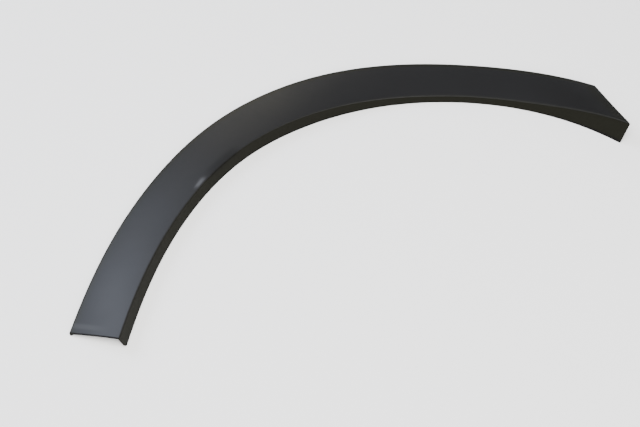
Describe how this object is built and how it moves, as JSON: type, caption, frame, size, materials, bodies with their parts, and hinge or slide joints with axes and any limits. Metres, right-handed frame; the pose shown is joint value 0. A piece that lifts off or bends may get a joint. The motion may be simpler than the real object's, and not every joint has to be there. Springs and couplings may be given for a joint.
{
  "type": "wheel arch trim",
  "caption": "Moulded plastic trim for a vehicle's wheel arch: a curved shallow channel with a crowned face, return lip, low outer flange and clip seats behind.",
  "frame": {"origin": "middle of the trim's bounding box in plan, on the plane that its lip edge and flange foot lie on", "axes": "+X from the leg's cut end towards the tail's tip, along the longest extent; +Y from the wheel towards the top of the arch; +Z out of the visible face, away from the vehicle"},
  "size_m": [0.6962, 0.4086, 0.0381],
  "materials": {
    "trim_plastic": "satin dark grey, fine grain"
  },
  "bodies": {
    "root": {"arch_trim": "trim_plastic"}
  },
  "joints": []
}
